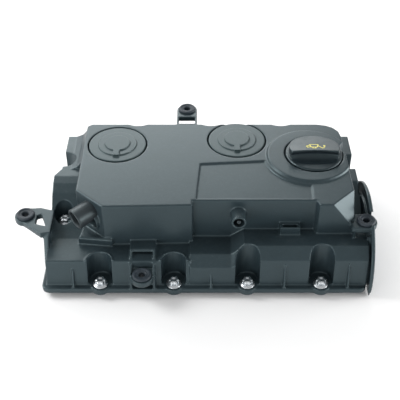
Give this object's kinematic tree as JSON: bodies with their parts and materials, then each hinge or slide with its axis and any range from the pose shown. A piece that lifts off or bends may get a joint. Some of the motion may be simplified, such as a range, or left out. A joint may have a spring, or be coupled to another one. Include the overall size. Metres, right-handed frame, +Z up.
{
  "type": "cylinder head cover",
  "caption": "Moulded cylinder head cover with stepped deck, oil filler cap, pressure-regulated breather chambers, side nozzle, belt-end arch and rubber trim mounts",
  "frame": {"origin": "bottom centre of the bounding box; the lowest points are the ends of the screws, 6 mm under the gasket face", "axes": "+X along the cover towards the belt end, +Y towards the rear edge, +Z up from the gasket face"},
  "size_m": [0.4378, 0.2738, 0.1218],
  "materials": {
    "body_plastic": "satin moulded grain, glass-filled",
    "dark_plastic": "satin",
    "cap_plastic": "smooth, slightly glossy",
    "pale_plastic": "natural",
    "grommet_rubber": "matt",
    "seal_rubber": "matt",
    "zinc_steel": "bright zinc",
    "plain_steel": "machined",
    "spring_steel": "drawn wire"
  },
  "bodies": {
    "cover": {"bolt_front_1": "zinc_steel", "bolt_front_2": "zinc_steel", "bolt_front_3": "zinc_steel", "bolt_front_4": "zinc_steel", "bolt_left_front": "zinc_steel", "bolt_left_rear": "zinc_steel", "bolt_rear_1": "zinc_steel", "bolt_rear_2": "zinc_steel", "bolt_rear_3": "zinc_steel", "bolt_right_rear": "zinc_steel", "breather_baffle": "dark_plastic", "breather_nozzle": "dark_plastic", "cover_body": "body_plastic", "diaphragm_left": "seal_rubber", "diaphragm_right": "seal_rubber", "grommet_front": "grommet_rubber", "grommet_left": "grommet_rubber", "grommet_rear": "grommet_rubber", "grommet_right": "grommet_rubber", "mid_boss_plug": "dark_plastic", "perimeter_gasket": "seal_rubber", "round_cover_left": "body_plastic", "round_cover_right": "body_plastic", "sleeve_front_1": "plain_steel", "sleeve_front_2": "plain_steel", "sleeve_front_3": "plain_steel", "sleeve_front_4": "plain_steel", "sleeve_left_front": "plain_steel", "sleeve_left_rear": "plain_steel", "sleeve_rear_1": "plain_steel", "sleeve_rear_2": "plain_steel", "sleeve_rear_3": "plain_steel", "sleeve_right_rear": "plain_steel", "valve_spring_left": "spring_steel", "valve_spring_right": "spring_steel"},
    "seal_ring": {"cap_seal": "seal_rubber"},
    "cap": {"oil_filler_cap": "cap_plastic"},
    "valve_left": {"valve_plate_left": "pale_plastic"},
    "valve_right": {"valve_plate_right": "pale_plastic"}
  },
  "joints": [
    {"name": "cap_lift", "type": "slide", "parent": "cover", "child": "seal_ring", "axis": [0, 0, 1], "range_m": [0, 0.006]},
    {"name": "cap_turn", "type": "hinge", "parent": "seal_ring", "child": "cap", "pos_m": [0.1505, 0.0185, 0.106], "axis": [0, 0, 1], "range_deg": [0, 180]},
    {"name": "valve_left_travel", "type": "slide", "parent": "cover", "child": "valve_left", "axis": [0, 0, 1], "range_m": [-0.003, 0], "stiffness_N_per_m": 200, "deforming": ["valve_spring_left", "diaphragm_left"]},
    {"name": "valve_right_travel", "type": "slide", "parent": "cover", "child": "valve_right", "axis": [0, 0, 1], "range_m": [-0.003, 0], "stiffness_N_per_m": 200, "deforming": ["valve_spring_right", "diaphragm_right"]}
  ],
  "couplings": [
    {"joint": "cap_lift", "follows": "cap_turn", "m_per_rad": 0.0019099}
  ]
}
